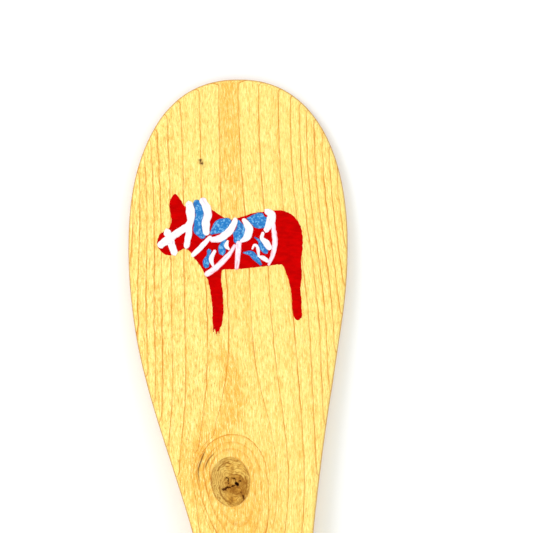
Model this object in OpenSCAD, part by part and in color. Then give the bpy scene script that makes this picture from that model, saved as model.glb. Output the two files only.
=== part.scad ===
// Painted wooden spreading spoon: a flat pale blade that runs into a slim handle,
// with a knot grown into the neck and a folk horse brushed on the upper face.
// +Y points at the blade's tip, +Z is the painted side and z = 0 is the flat underside.
// The origin is midway along the spoon, on the blade's middle line, on the underside.
// A place along the spoon is called s: the distance from the tip, measured towards the butt.

/* [Blade] */
// Overall length from tip to butt
spoon_l = 175; // [150:1:215]
// Width of the blade at its widest place
blade_w = 32; // [26:0.5:42]
// Distance from the tip to the widest place
tip_l = 24.7; // [20:0.1:30]
// Fullness of the rounded tip: 2 is an ellipse, more is squarer
tip_power = 2.3; // [2:0.1:3]

/* [Neck and handle] */
// Distance from the tip to the narrowest place of the neck
neck_s = 81.5; // [66:0.5:98]
// Width of the neck at its narrowest place
neck_w = 14.3; // [11:0.1:18]
// Distance from the tip at which the middle line starts to bend sideways
bend_s = 36.4; // [30:0.1:44]
// How far the handle lies to the side of the blade's middle line
handle_shift = 3; // [0:0.1:5]
// Width of the handle's grip
grip_w = 16; // [13:0.1:20]
// Length of the full-width grip, butt included
grip_l = 35; // [28:1:42]
// Length of the rounded butt
butt_l = 9; // [7:0.5:12]

/* [Thickness and edges] */
// Thickness of the blade at its tip
tip_t = 2; // [1.6:0.1:2.6]
// Slope of the upper face along the blade, in degrees
face_slope = 3.3; // [2.6:0.1:4]
// Thickness of the handle
grip_t = 7.5; // [6.2:0.1:9]
// Length over which the sloping face eases into the handle
ease_l = 34; // [20:1:40]
// Edge rounding of the blade
edge_r = 0.8; // [0.4:0.1:1]
// Edge rounding of the handle
grip_r = 3; // [2:0.1:3.6]

/* [Knot] */
// Distance of the knot from the narrowest place of the neck, towards the tip
knot_up = 22.7; // [18:0.1:27]
// How far the knot lies left of the middle line
knot_side = 2.5; // [1:0.1:4]
// Diameter of the grown-in branch at the upper face
knot_d = 5.5; // [4:0.1:6.6]
// Diameter that the branch loses for each millimetre down
knot_taper = 0.2; // [0.05:0.01:0.25]
// Lean of the branch away from upright, in degrees
knot_lean = 42; // [20:1:48]
// Turn of the leaning branch about the upright, in degrees
knot_turn = 6; // [-20:1:20]

/* [Painted horse] */
// Length of the horse from nose to rump
horse_l = 21.2; // [17:0.1:26]
// How far the horse's middle lies towards the tip from the widest place
horse_up = 0.7; // [-2:0.1:3]
// How far the horse's middle lies left of the blade's middle line
horse_side = 0.4; // [-1:0.1:2]
// Thickness of one coat of paint
paint_t = 0.1; // [0.06:0.01:0.2]

/* [Hidden] */

wood = "#f2d57c";
knot_wood = "#a87b3a";
red_paint = "#d40000";
white_paint = "#fdfdfb";
blue_paint = "#4a90cf";

tip_steps = 14;        // stations round one side of the tip
side_step = 4;         // distance between stations along the sides
butt_steps = 8;        // stations round one side of the butt
arc_steps = 4;         // steps in each rounded edge
curve_steps = 4;       // points on a brush curve between two of its own points
cap_turn = 30;         // turn between points round a stroke's end
branch_sides = 48;     // flats round the grown-in branch
cut_over = 1;          // overrun of every cutting solid

knot_s = neck_s - knot_up;
knot_reach = face_z(knot_s) / cos(knot_lean) + knot_d * tan(knot_lean) + cut_over;   // from the face past the back
horse_s = tip_l - horse_up;
horse_scale = horse_l / 21.2;

function mix(a, b, t) = a + (b - a) * t;
function smooth(t) = let(c = max(0, min(1, t))) c * c * (3 - 2 * c);
function unit(v) = v / norm(v);
function xy(p) = [p[0], p[1]];

// Half the width at s: a full round tip, an S-shaped run to the neck, a swell to the grip, a round butt.
function half_width(s) =
    s < tip_l ? blade_w / 2 * pow(1 - pow(1 - s / tip_l, tip_power), 1 / tip_power) :
    s < neck_s ? mix(blade_w, neck_w, smooth((s - tip_l) / (neck_s - tip_l))) / 2 :
    mix(neck_w, grip_w, smooth((s - neck_s) / (spoon_l - grip_l - neck_s))) / 2
        * sqrt(1 - pow(max(0, s - spoon_l + butt_l) / butt_l, 2));

// The middle line stays straight on the blade and moves sideways along the neck.
function middle(s) = handle_shift * smooth((s - bend_s) / (neck_s - bend_s));

// Height of the upper face: a straight slope that eases into the level handle.
function face_z(s) =
    let(line = tip_t + s * tan(face_slope), ease = ease_l * tan(face_slope))
    min(line, grip_t) - pow(max(ease / 2 - abs(line - grip_t), 0), 2) / (2 * ease);

function edge_radius(s) =
    min(mix(edge_r, grip_r, smooth((s - neck_s) / (spoon_l - grip_l - neck_s))), 0.42 * face_z(s));

side_steps = ceil((spoon_l - butt_l - tip_l) / side_step);
stations = concat(
    [for (i = [1:tip_steps]) tip_l * (1 - pow(cos(90 * i / tip_steps), 2 / tip_power))],
    [for (i = [1:side_steps]) mix(tip_l, spoon_l - butt_l, i / side_steps)],
    [for (i = [1:butt_steps - 1]) spoon_l - butt_l + butt_l * sin(90 * i / butt_steps)]);

// The outline runs from the tip down the right side, round the butt and up the left side.
outline = concat(
    [[0, spoon_l / 2]],
    [for (s = stations) [middle(s) + half_width(s), spoon_l / 2 - s]],
    [[handle_shift, -spoon_l / 2]],
    [for (i = [len(stations) - 1:-1:0]) let(s = stations[i]) [middle(s) - half_width(s), spoon_l / 2 - s]]);

function outward(i) =
    let(n = len(outline), d = unit(outline[(i + 1) % n] - outline[(i + n - 1) % n])) [-d[1], d[0]];

// One closed ring round the spoon, at turn a of the rounded edge: -90 is the underside's rim, 90 the face's.
function edge_ring(a) = [
    for (i = [0:len(outline) - 1])
        let(r = edge_radius(spoon_l / 2 - outline[i][1]),
            p = outline[i] - outward(i) * r * (1 - cos(a)))
        [p[0], p[1], a < 0 ? r * (1 + sin(a)) : face_z(spoon_l / 2 - p[1]) - r * (1 - sin(a))]];

edge_turns = concat([for (i = [0:arc_steps]) -90 + 89.9 * i / arc_steps], [for (i = [0:arc_steps]) 90 * i / arc_steps]);

// The whole carved blank, with no knot cut out of it.
module blank() {
    n = len(outline);
    m = len(edge_turns);
    half = n / 2;
    walls = [for (j = [0:m - 2], i = [0:n - 1], k = [0, 1])
        let(a = j * n + i, b = j * n + (i + 1) % n) k == 0 ? [a, b, b + n] : [a, b + n, a + n]];
    top = (m - 1) * n;
    // The face and the underside are closed by strips between the two sides. All of the blade's share one slope.
    pairs = [for (i = [0:half - 1], k = [0, 1])
        let(a = (n - i) % n, b = n - i - 1) k == 0 ? [i, i + 1, b] : [i, b, a]];
    strips = [for (f = pairs) if (f[0] != f[1] && f[1] != f[2] && f[0] != f[2]) f];
    face = [for (f = strips) f + [top, top, top]];
    under = [for (f = strips) [f[2], f[1], f[0]]];
    polyhedron(points = [for (a = edge_turns) each edge_ring(a)],
        faces = concat(walls, face, under),
        convexity = 4);
}

// The branch that the tree grew round: a leaning cone through the blade.
module branch() {
    slim = knot_taper * knot_reach;
    translate([middle(knot_s) - knot_side, spoon_l / 2 - knot_s, face_z(knot_s)])
        rotate([-knot_lean, 0, knot_turn])
        translate([0, 0, -knot_reach])
        linear_extrude(height = 2 * knot_reach, scale = (knot_d + slim) / (knot_d - slim))
        circle(d = knot_d - slim, $fn = branch_sides);
}

module spoon_body() color(wood) difference() {
    blank();
    branch();
}

module knot() color(knot_wood) intersection() {
    blank();
    branch();
}

function spline(a, b, c, d, t) =
    (2 * b + (c - a) * t + (2 * a - 5 * b + 4 * c - d) * t * t + (3 * b - a - 3 * c + d) * t * t * t) / 2;

function open_curve(p) = let(n = len(p)) concat(
    [for (i = [0:n - 2], j = [0:curve_steps - 1])
        spline(p[max(i - 1, 0)], p[i], p[i + 1], p[min(i + 2, n - 1)], j / curve_steps)],
    [p[n - 1]]);

function closed_curve(p) = let(n = len(p))
    [for (i = [0:n - 1], j = [0:curve_steps - 1])
        spline(p[(i + n - 1) % n], p[i], p[(i + 1) % n], p[(i + 2) % n], j / curve_steps)];

// A brush stroke's outline: each point of its path is [across, up, width], and both ends are round.
function stroke_outline(p) =
    let(c = open_curve(p), n = len(c) - 1,
        along = [for (i = [0:n]) unit(xy(c[min(i + 1, n)] - c[max(i - 1, 0)]))],
        left = [for (i = [0:n]) [-along[i][1], along[i][0]] * c[i][2] / 2],
        turns = [for (a = [cap_turn:cap_turn:180 - cap_turn]) a])
    concat(
        [for (i = [0:n]) xy(c[i]) + left[i]],
        [for (a = turns) xy(c[n]) + left[n] * cos(a) + along[n] * sin(a) * c[n][2] / 2],
        [for (i = [n:-1:0]) xy(c[i]) - left[i]],
        [for (a = turns) xy(c[0]) - left[0] * cos(a) - along[0] * sin(a) * c[0][2] / 2]);

// The horse's outline, clockwise from the ear, in millimetres from its middle at a length of 21.2.
coat_points = [
    [-8.9, 7.2], [-9.6, 5.8], [-9.4, 4.2], [-9.3, 3.0], [-9.8, 2.1], [-11.0, 1.2], [-11.4, -0.2],
    [-10.7, -1.3], [-9.6, -1.8], [-8.5, -1.3], [-7.4, -0.8], [-6.7, -1.1], [-6.1, -2.0], [-5.1, -3.3],
    [-4.3, -4.7], [-3.8, -6.1], [-3.5, -7.9], [-3.3, -9.8], [-3.3, -11.6], [-3.0, -12.8], [-2.6, -13.1],
    [-2.2, -12.6], [-1.8, -11.0], [-1.7, -8.4], [-1.9, -6.4], [-2.0, -4.8], [-1.8, -3.9], [-0.2, -3.8],
    [2.4, -3.6], [4.9, -3.3], [6.5, -3.1], [7.1, -3.5], [7.5, -4.6], [7.9, -5.9], [8.2, -7.8],
    [8.3, -9.8], [8.6, -10.9], [9.2, -11.2], [9.7, -10.5], [9.6, -8.4], [9.5, -6.4], [9.7, -4.6],
    [9.6, -2.8], [9.8, -0.6], [9.8, 1.2], [9.4, 2.7], [8.8, 3.7], [7.8, 4.4], [6.4, 4.8],
    [4.3, 4.6], [2.7, 4.4], [1.1, 3.9], [-0.4, 3.5], [-1.5, 3.6], [-2.5, 4.3], [-3.6, 5.0],
    [-4.9, 5.5], [-6.2, 5.2], [-7.4, 5.4], [-8.2, 6.7],
];

// Every stroke on the coat, topmost first: the ones further down stop where the ones above them lie.
strokes = [
    ["bridle_crown", [[-6.7, 5.6, 1.1], [-6.5, 4.5, 1.3], [-6.5, 3.3, 1.0], [-6.8, 2.4, 1.1],
        [-6.8, 1.2, 1.0], [-7.1, -0.4, 0.8]]],
    ["bridle_cheek", [[-7.2, 2.3, 1.0], [-9.1, 1.0, 1.1], [-10.8, -0.2, 1.1]]],
    ["bridle_nose", [[-9.9, 1.6, 1.0], [-9.5, 0.5, 1.1], [-8.9, -1.3, 1.0]]],
    ["mane_white", [[-4.7, 6.1, 1.1], [-4.2, 5.2, 1.2], [-4.0, 4.2, 1.2], [-4.3, 2.9, 1.2], [-4.2, 1.6, 1.0]]],
    ["breast_collar", [[-3.7, 0.8, 0.6], [-4.9, -0.5, 0.8], [-6.1, -1.7, 0.7]]],
    ["saddle_front_white", [[-3.3, 0.5, 0.8], [-2.2, 0.7, 1.1], [-0.9, 1.7, 1.1], [-0.1, 3.0, 0.9],
        [0.0, 3.4, 0.7]]],
    ["saddle_middle_white", [[1.3, 3.3, 0.7], [2.0, 2.1, 1.2], [1.7, 0.9, 1.1], [0.9, 0.3, 0.5]]],
    ["saddle_rear_white", [[4.7, 4.6, 0.9], [5.3, 4.1, 1.2], [5.1, 3.1, 1.3], [4.6, 2.0, 0.9]]],
    ["chest_leaf_white", [[-3.0, -1.2, 0.5], [-3.5, -2.3, 0.7], [-3.2, -3.3, 0.4]]],
    ["shoulder_leaf_white", [[-1.1, 0.3, 0.3], [-1.3, -0.4, 0.7], [-0.9, -0.9, 0.3]]],
    ["belly_hook_white", [[2.5, -0.8, 0.3], [2.8, -0.3, 0.4], [3.2, -0.5, 0.45], [3.35, -1.2, 0.5],
        [3.4, -1.9, 0.3]]],
    ["belly_leaf_white", [[3.6, -2.0, 0.4], [4.1, -2.2, 0.7], [4.7, -2.6, 0.5]]],
    ["flank_leaf_white", [[4.0, 1.4, 0.5], [3.9, 0.7, 0.6], [4.5, 0.0, 1.0], [4.9, -0.6, 0.9]]],
    ["breeching", [[5.5, 3.3, 0.5], [5.6, 1.9, 0.7], [5.8, 0.3, 0.8], [5.5, -1.6, 0.7], [4.9, -3.1, 0.4]]],
    ["girth", [[0.5, -0.1, 0.9], [0.4, -1.6, 0.8], [0.2, -3.6, 0.6]]],
    ["chest_strap", [[-0.1, -0.4, 0.5], [-1.0, -1.8, 0.7], [-2.7, -3.5, 0.9], [-4.1, -4.5, 0.8]]],
    ["mane_blue", [[-5.6, 5.8, 1.1], [-5.3, 4.9, 1.3], [-5.2, 4.1, 1.2], [-5.4, 3.0, 1.3], [-5.4, 1.9, 1.3],
        [-4.8, 1.1, 1.0]]],
    ["saddle_front_blue", [[-3.4, 1.5, 0.6], [-2.7, 2.1, 1.7], [-1.9, 2.6, 2.1], [-1.2, 3.0, 1.4]]],
    ["saddle_middle_blue", [[0.5, 3.1, 0.5], [0.8, 2.0, 1.5], [0.5, 1.1, 1.7], [0.2, 0.4, 0.9]]],
    ["saddle_rear_blue", [[1.8, 3.6, 0.3], [2.5, 3.45, 1.5], [3.3, 3.3, 2.3], [4.0, 3.2, 2.2], [4.4, 3.2, 1.3]]],
    ["chest_leaf_blue", [[-3.8, -1.2, 0.7], [-3.9, -1.9, 0.6], [-4.2, -2.7, 1.1], [-4.2, -3.2, 0.9]]],
    ["shoulder_leaf_blue", [[-1.5, 0.3, 0.5], [-2.0, -0.5, 0.9], [-1.9, -1.2, 1.1]]],
    ["belly_leaf_blue", [[1.2, -1.4, 0.2], [2.2, -1.5, 0.8], [3.0, -2.2, 0.9], [3.7, -3.1, 0.4]]],
    ["flank_leaf_blue", [[2.9, 0.8, 0.2], [3.5, 0.3, 0.5], [3.9, -0.6, 0.9], [4.4, -1.2, 0.8]]],
];

// Puts flat paint on the sloping face, with the horse's middle as its origin.
module on_face() {
    translate([0, spoon_l / 2, tip_t])
        rotate([-face_slope, 0, 0])
        translate([-horse_side, -horse_s / cos(face_slope), 0])
        children();
}

// A flat film in the shape of the outline, from low to high above the face.
module film(points, low, high) {
    translate([0, 0, low])
        linear_extrude(height = high - low)
        polygon(points * horse_scale);
}

function stroke_named(name) = [for (i = [0:len(strokes) - 1]) if (strokes[i][0] == name) i][0];
function stroke_low(i) = [for (k = [0, 1]) min([for (p = strokes[i][1]) p[k] - p[2]])];
function stroke_high(i) = [for (k = [0, 1]) max([for (p = strokes[i][1]) p[k] + p[2]])];
function may_touch(i, j) =
    let(a = stroke_low(i), b = stroke_high(i), c = stroke_low(j), d = stroke_high(j))
    a[0] < d[0] && c[0] < b[0] && a[1] < d[1] && c[1] < b[1];

// One brush stroke: it covers the coat by one thickness and reaches the bare wood past the coat's edge.
module stroke(name) {
    own = stroke_named(name);
    on_face() difference() {
        film(stroke_outline(strokes[own][1]), 0, 2 * paint_t);
        film(closed_curve(coat_points), -cut_over, paint_t);
        for (i = [0:1:own - 1])
            if (may_touch(own, i)) film(stroke_outline(strokes[i][1]), -cut_over, cut_over);
    }
}

module horse_coat() color(red_paint) on_face() film(closed_curve(coat_points), 0, paint_t);

module bridle_crown() color(white_paint) stroke("bridle_crown");
module bridle_cheek() color(white_paint) stroke("bridle_cheek");
module bridle_nose() color(white_paint) stroke("bridle_nose");
module mane_white() color(white_paint) stroke("mane_white");
module mane_blue() color(blue_paint) stroke("mane_blue");
module breast_collar() color(white_paint) stroke("breast_collar");
module saddle_front_white() color(white_paint) stroke("saddle_front_white");
module saddle_middle_white() color(white_paint) stroke("saddle_middle_white");
module saddle_rear_white() color(white_paint) stroke("saddle_rear_white");
module saddle_front_blue() color(blue_paint) stroke("saddle_front_blue");
module saddle_middle_blue() color(blue_paint) stroke("saddle_middle_blue");
module saddle_rear_blue() color(blue_paint) stroke("saddle_rear_blue");
module breeching() color(white_paint) stroke("breeching");
module girth() color(white_paint) stroke("girth");
module chest_strap() color(white_paint) stroke("chest_strap");
module chest_leaf_white() color(white_paint) stroke("chest_leaf_white");
module shoulder_leaf_white() color(white_paint) stroke("shoulder_leaf_white");
module belly_hook_white() color(white_paint) stroke("belly_hook_white");
module belly_leaf_white() color(white_paint) stroke("belly_leaf_white");
module flank_leaf_white() color(white_paint) stroke("flank_leaf_white");
module chest_leaf_blue() color(blue_paint) stroke("chest_leaf_blue");
module shoulder_leaf_blue() color(blue_paint) stroke("shoulder_leaf_blue");
module belly_leaf_blue() color(blue_paint) stroke("belly_leaf_blue");
module flank_leaf_blue() color(blue_paint) stroke("flank_leaf_blue");

spoon_body();
knot();
horse_coat();
bridle_crown();
bridle_cheek();
bridle_nose();
mane_white();
mane_blue();
breast_collar();
saddle_front_white();
saddle_middle_white();
saddle_rear_white();
saddle_front_blue();
saddle_middle_blue();
saddle_rear_blue();
breeching();
girth();
chest_strap();
chest_leaf_white();
shoulder_leaf_white();
belly_hook_white();
belly_leaf_white();
flank_leaf_white();
chest_leaf_blue();
shoulder_leaf_blue();
belly_leaf_blue();
flank_leaf_blue();
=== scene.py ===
import math
import bpy
import numpy as np
from mathutils import Matrix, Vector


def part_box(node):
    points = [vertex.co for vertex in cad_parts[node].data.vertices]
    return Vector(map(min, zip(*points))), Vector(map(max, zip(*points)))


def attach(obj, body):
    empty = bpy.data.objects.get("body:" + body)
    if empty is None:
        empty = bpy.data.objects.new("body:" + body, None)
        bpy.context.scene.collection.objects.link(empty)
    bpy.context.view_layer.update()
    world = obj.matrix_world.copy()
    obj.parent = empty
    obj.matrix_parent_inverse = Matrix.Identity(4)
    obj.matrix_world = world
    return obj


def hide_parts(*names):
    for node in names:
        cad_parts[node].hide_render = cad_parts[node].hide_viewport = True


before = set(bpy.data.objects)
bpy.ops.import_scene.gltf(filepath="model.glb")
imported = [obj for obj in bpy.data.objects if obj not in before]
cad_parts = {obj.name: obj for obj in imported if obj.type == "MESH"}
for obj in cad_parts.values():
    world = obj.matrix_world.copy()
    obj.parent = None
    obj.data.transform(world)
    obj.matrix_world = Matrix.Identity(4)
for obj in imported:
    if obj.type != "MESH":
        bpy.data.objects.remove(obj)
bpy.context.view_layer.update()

mm = 0.001
weldSize = 1e-4 * mm
print("frame loaded:", len(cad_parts), "nodes")

def smooth(t):
    # three times t squared less twice t cubed, with t held between 0 and 1
    c = np.clip(t, 0.0, 1.0)
    return c * c * (3.0 - 2.0 * c)


def mix(a, b, t):
    # a plus the share t of the way to b
    return a + (b - a) * t


def spline(points, steps):
    # a cubic through each point, whose slope there is half the step between its two neighbours
    p = np.asarray(points, float)
    a, b, c, d = p[np.r_[0, 0:len(p) - 2]], p[:-1], p[1:], p[np.r_[2:len(p), len(p) - 1]]
    t = (np.arange(steps) / steps)[None, :, None]
    a, b, c, d = (v[:, None, :] for v in (a, b, c, d))
    run = (2 * b + (c - a) * t + (2 * a - 5 * b + 4 * c - d) * t**2 + (3 * b - a - 3 * c + d) * t**3) / 2
    return np.vstack([run.reshape(-1, p.shape[1]), p[-1:]])


def ripples(u, v, waves, size, seed):
    # a sum of sine waves of random direction and phase, each about size long, scaled to about -1..1
    rng = np.random.default_rng(seed)
    total = np.zeros(np.broadcast(u, v).shape)
    for _ in range(waves):
        turn, phase = rng.uniform(0, 2 * math.pi), rng.uniform(0, 2 * math.pi)
        scale = rng.uniform(0.6, 1.6)
        total += np.sin(2 * math.pi * (u * math.cos(turn) + v * math.sin(turn)) / (size * scale) + phase)
    return total / math.sqrt(waves)


def gridFaces(rows, columns, start=0):
    # quads of a rows x columns grid of points, numbered row by row
    i, j = np.meshgrid(np.arange(rows - 1), np.arange(columns - 1), indexing="ij")
    a = start + i * columns + j
    return np.stack([a, a + 1, a + columns + 1, a + columns], axis=-1).reshape(-1, 4)


def weld(points, quads, fields):
    # points closer than a ten-thousandth of a millimetre become one, so seams and poles close
    keys = np.round(points / weldSize).astype(np.int64)
    _, first, back = np.unique(keys, axis=0, return_index=True, return_inverse=True)
    faces = back.reshape(-1)[quads]
    same = faces == np.roll(faces, -1, axis=1)
    triangles = faces[same.sum(1) == 1]
    keep = ~same[same.sum(1) == 1]
    return (points[first], faces[same.sum(1) == 0], triangles[keep].reshape(-1, 3),
            {name: values[first] for name, values in fields.items()})


def makePiece(name, nodes, material, points, quads, fields):
    # one welded mesh with smooth shading and its fields as point attributes, riding on the spoon
    points, quads, triangles, fields = weld(points, quads, fields)
    mesh = bpy.data.meshes.new(name)
    mesh.from_pydata(points.tolist(), [], quads.tolist() + triangles.tolist())
    mesh.polygons.foreach_set("use_smooth", np.ones(len(mesh.polygons), bool))
    for field, values in fields.items():
        kind, key = ("FLOAT_VECTOR", "vector") if values.ndim == 2 else ("FLOAT", "value")
        mesh.attributes.new(field, kind, "POINT").data.foreach_set(key, values.astype(np.float32).ravel())
    mesh.validate()
    mesh.update()
    piece = bpy.data.objects.new(name, mesh)
    bpy.context.scene.collection.objects.link(piece)
    mesh.materials.append(material)
    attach(piece, "root")
    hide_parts(*nodes)
    return piece


def wire(tree, kind, settings=None, **inputs):
    # adds one node; an input given as a socket is linked, and any other value is set
    node = tree.nodes.new(kind)
    for key, value in (settings or {}).items():
        setattr(node, key, value)
    for key, value in inputs.items():
        socket = node.inputs[int(key[1:]) if key[1:].isdigit() else key.replace("_", " ")]
        if isinstance(value, bpy.types.NodeSocket):
            tree.links.new(value, socket)
        else:
            socket.default_value = value
    return node


def calc(tree, operation, a, b=0.0, c=0.0):
    # one sum on up to three values
    return wire(tree, "ShaderNodeMath", {"operation": operation}, i0=a, i1=b, i2=c).outputs[0]


def times(tree, a, b):
    # a times b
    return calc(tree, "MULTIPLY", a, b)


def field(tree, name, output="Fac"):
    # a value kept on the mesh's points
    return wire(tree, "ShaderNodeAttribute", {"attribute_name": name}).outputs[output]


def stretched(tree, vector, scale):
    # the place times a scale for each direction
    return wire(tree, "ShaderNodeMapping", Vector=vector, Scale=scale).outputs[0]


def noise(tree, vector, detail=3.0, roughness=0.55, distortion=0.0):
    # cloudy noise of about 0.3 to 0.7, one cloud to a unit
    return wire(tree, "ShaderNodeTexNoise", Vector=vector, Scale=1.0, Detail=detail, Roughness=roughness,
                Distortion=distortion).outputs["Fac"]


def between(tree, value, low, high, to=(0.0, 1.0)):
    # value taken smoothly from low..high to the two given limits
    return wire(tree, "ShaderNodeMapRange", {"interpolation_type": "SMOOTHSTEP"}, Value=value, From_Min=low,
                From_Max=high, To_Min=to[0], To_Max=to[1]).outputs[0]


def blend(tree, mask, under, over):
    # one colour less the mask's share of it, plus that share of the other
    return wire(tree, "ShaderNodeMix", {"data_type": "RGBA"}, i0=mask, i6=under, i7=over).outputs[2]


def layer(tree, base, value, low, high, share, over):
    # one more colour over the base: none of it where the value is low, its full share where it is high
    return blend(tree, between(tree, value, low, high, (0.0, share)), base, over)


def colour(red, green, blue):
    # a display colour of 0 to 255 as linear light
    c = np.array([red, green, blue]) / 255.0
    linear = np.where(c < 0.04045, c / 12.92, ((c + 0.055) / 1.055) ** 2.4)
    return (*(float(v) for v in linear), 1.0)


def newMaterial(name, **settings):
    # constants go on the shader's own sockets
    material = bpy.data.materials.new(name)
    material.use_nodes = True
    shader = material.node_tree.nodes["Principled BSDF"]
    for key, value in settings.items():
        shader.inputs[key.replace("_", " ")].default_value = value
    return material, material.node_tree, shader


def addBump(tree, shader, height, strength, distance):
    # the height tilts the surface's normal
    bump = wire(tree, "ShaderNodeBump", Strength=strength, Distance=distance, Height=height)
    tree.links.new(bump.outputs[0], shader.inputs["Normal"])


# each mark's stretch along three directions, then its detail, roughness and distortion
fibreMarks = {
    "Fine": ((6.5, 0.5, 4.0), 3.0, 0.68, 0.25),
    "Long": ((2.4, 0.07, 1.5), 2.0, 0.5, 0.0),
    "Blotch": ((1.1, 0.5, 1.0), 3.0, 0.6, 0.6),
    "Pores": ((7.0, 1.15, 6.0), 3.0, 0.8, 0.0),
}
bristleMarks = {
    "Streaks": ((0.5, 4.5, 1.0), 3.0, 0.6, 0.3),
    "Dabs": ((2.2, 2.6, 1.0), 3.0, 0.65, 0.4),
}


def stretchedNoises(tree, place, marks):
    # the marks by name, each a noise stretched its own way
    return {mark: noise(tree, stretched(tree, place, scale), *rest)
            for mark, (scale, *rest) in marks.items()}


def makeMarksGroup(name, place, marks, heightShares):
    # gives out every mark, and a height that is two of them added in their shares
    group = bpy.data.node_groups.new(name, "ShaderNodeTree")
    group.interface.new_socket(place, in_out="INPUT", socket_type="NodeSocketVector")
    for mark in [*marks, "Height"]:
        group.interface.new_socket(mark, in_out="OUTPUT", socket_type="NodeSocketFloat")
    takes, gives = group.nodes.new("NodeGroupInput"), group.nodes.new("NodeGroupOutput")
    values = stretchedNoises(group, takes.outputs[0], marks)
    (first, firstShare), (second, secondShare) = heightShares.items()
    values["Height"] = calc(group, "MULTIPLY_ADD", values[first], firstShare,
                            times(group, values[second], secondShare))
    for mark, value in values.items():
        group.links.new(value, gives.inputs[mark])
    return group


def useGroup(tree, group, **inputs):
    # the group placed in a material, with the outputs it gives there
    return wire(tree, "ShaderNodeGroup", {"node_tree": group}, **inputs).outputs


fibreGroup = makeMarksGroup("woodFibres", "Grain", fibreMarks, {"Fine": 0.6, "Long": 0.4})
bristleGroup = makeMarksGroup("bristleMarks", "Stroke", bristleMarks, {"Streaks": 0.6, "Dabs": 0.5})
print("shader groups made")

bodyLow, bodyHigh = (np.array(corner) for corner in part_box("spoon_body"))

spoonShape = {
    "length": bodyHigh[1] - bodyLow[1],
    "bladeWidth": bodyHigh[0] - bodyLow[0],
    "gripThickness": bodyHigh[2] - bodyLow[2],
    "tipLength": 24.7 * mm,  # tip to the widest place
    "tipPower": 2.3,  # fullness of the rounded tip
    "neckPlace": 81.5 * mm,  # tip to the narrowest place
    "neckWidth": 14.3 * mm,
    "bendPlace": 36.4 * mm,  # where the middle line starts to bend
    "handleShift": 3.0 * mm,
    "gripWidth": 16.0 * mm,
    "gripLength": 35.0 * mm,
    "buttLength": 9.0 * mm,
    "tipThickness": 2.0 * mm,
    "faceSlope": math.radians(3.3),
    "easeLength": 34.0 * mm,
    "bladeEdge": 0.8 * mm,
    "gripEdge": 3.0 * mm,
    "edgeShare": 0.42,  # the most of the thickness that one rounded edge takes
    "carving": 0.03 * mm,  # depth of the knife's soft waves
    "carvingWaves": (8, 9 * mm, 11),  # their number, size and seed
    "across": 84,  # columns of the face
    "tipRows": 56,
    "bladeRows": 80,
    "neckRows": 110,
    "gripRows": 190,
    "buttRows": 30,
    "rimSteps": 7,
}

knotShape = {
    "up": 22.7 * mm,  # from the neck's narrowest place towards the tip
    "side": 2.5 * mm,  # left of the middle line
    "diameter": 5.5 * mm,
    "taper": 0.2,  # diameter lost for each unit down
    "lean": math.radians(42),
    "turn": math.radians(6),
    "fineLength": 10.5 * mm,  # the face's rows lie closer this far before the knot
    "fineAfter": 14.7 * mm,  # and this far after it
    "loopPoints": 240,
    "holeRows": 18,  # half the rows and columns of the face that the hole takes
    "holeColumns": 12,
    "reach": 2.6,  # how far the face's rows bend round the hole, in hole sizes
    "proud": 0.02 * mm,  # how far the knot stands above the worn wood
    "rings": 44,
    "spokes": 160,
}


def halfWidth(s):
    # superellipse round the tip, smooth run to the neck, smooth swell to the grip, elliptic butt
    k = spoonShape
    rounded = 1 - np.clip(1 - s / k["tipLength"], 0, 1) ** k["tipPower"]
    tip = rounded ** (1 / k["tipPower"]) * k["bladeWidth"]
    narrowing = smooth((s - k["tipLength"]) / (k["neckPlace"] - k["tipLength"]))
    run = mix(k["bladeWidth"], k["neckWidth"], narrowing)
    swell = smooth((s - k["neckPlace"]) / (k["length"] - k["gripLength"] - k["neckPlace"]))
    grip = mix(k["neckWidth"], k["gripWidth"], swell)
    ending = np.clip((s - k["length"] + k["buttLength"]) / k["buttLength"], 0, 1)
    butt = np.sqrt(np.clip(1 - ending**2, 0, 1))
    return np.where(s < k["tipLength"], tip, np.where(s < k["neckPlace"], run, grip * butt)) / 2


def middle(s):
    # straight on the blade, then a smooth sideways move along the neck
    k = spoonShape
    return k["handleShift"] * smooth((s - k["bendPlace"]) / (k["neckPlace"] - k["bendPlace"]))


def faceHeight(s):
    # the lower of a straight slope and the handle's level, eased where they meet
    k = spoonShape
    line = k["tipThickness"] + s * math.tan(k["faceSlope"])
    ease = k["easeLength"] * math.tan(k["faceSlope"])
    meet = np.clip(ease / 2 - np.abs(line - k["gripThickness"]), 0, None)
    return np.minimum(line, k["gripThickness"]) - meet**2 / (2 * ease)


def edgeRadius(s):
    # from the blade's radius to the grip's, and never more than a set share of the thickness
    k = spoonShape
    grow = smooth((s - k["neckPlace"]) / (k["length"] - k["gripLength"] - k["neckPlace"]))
    return np.minimum(mix(k["bladeEdge"], k["gripEdge"], grow), k["edgeShare"] * faceHeight(s))


def stationList():
    # distances from the tip: by equal turns round the tip and butt, evenly between, closest at the knot
    k = spoonShape
    tipTurn = np.linspace(0, math.pi / 2, k["tipRows"], endpoint=False)
    tip = k["tipLength"] * (1 - np.cos(tipTurn) ** (2 / k["tipPower"]))
    buttStart = k["length"] - k["buttLength"]
    fine = knotPlace - knotShape["fineLength"], knotPlace + knotShape["fineAfter"]
    blade = np.linspace(k["tipLength"], fine[0], k["bladeRows"], endpoint=False)
    neck = np.linspace(fine[0], fine[1], k["neckRows"], endpoint=False)
    grip = np.linspace(fine[1], buttStart, k["gripRows"], endpoint=False)
    butt = buttStart + k["buttLength"] * np.sin(np.linspace(0, math.pi / 2, k["buttRows"]))
    return np.concatenate([tip, blade, neck, grip, butt])


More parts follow.
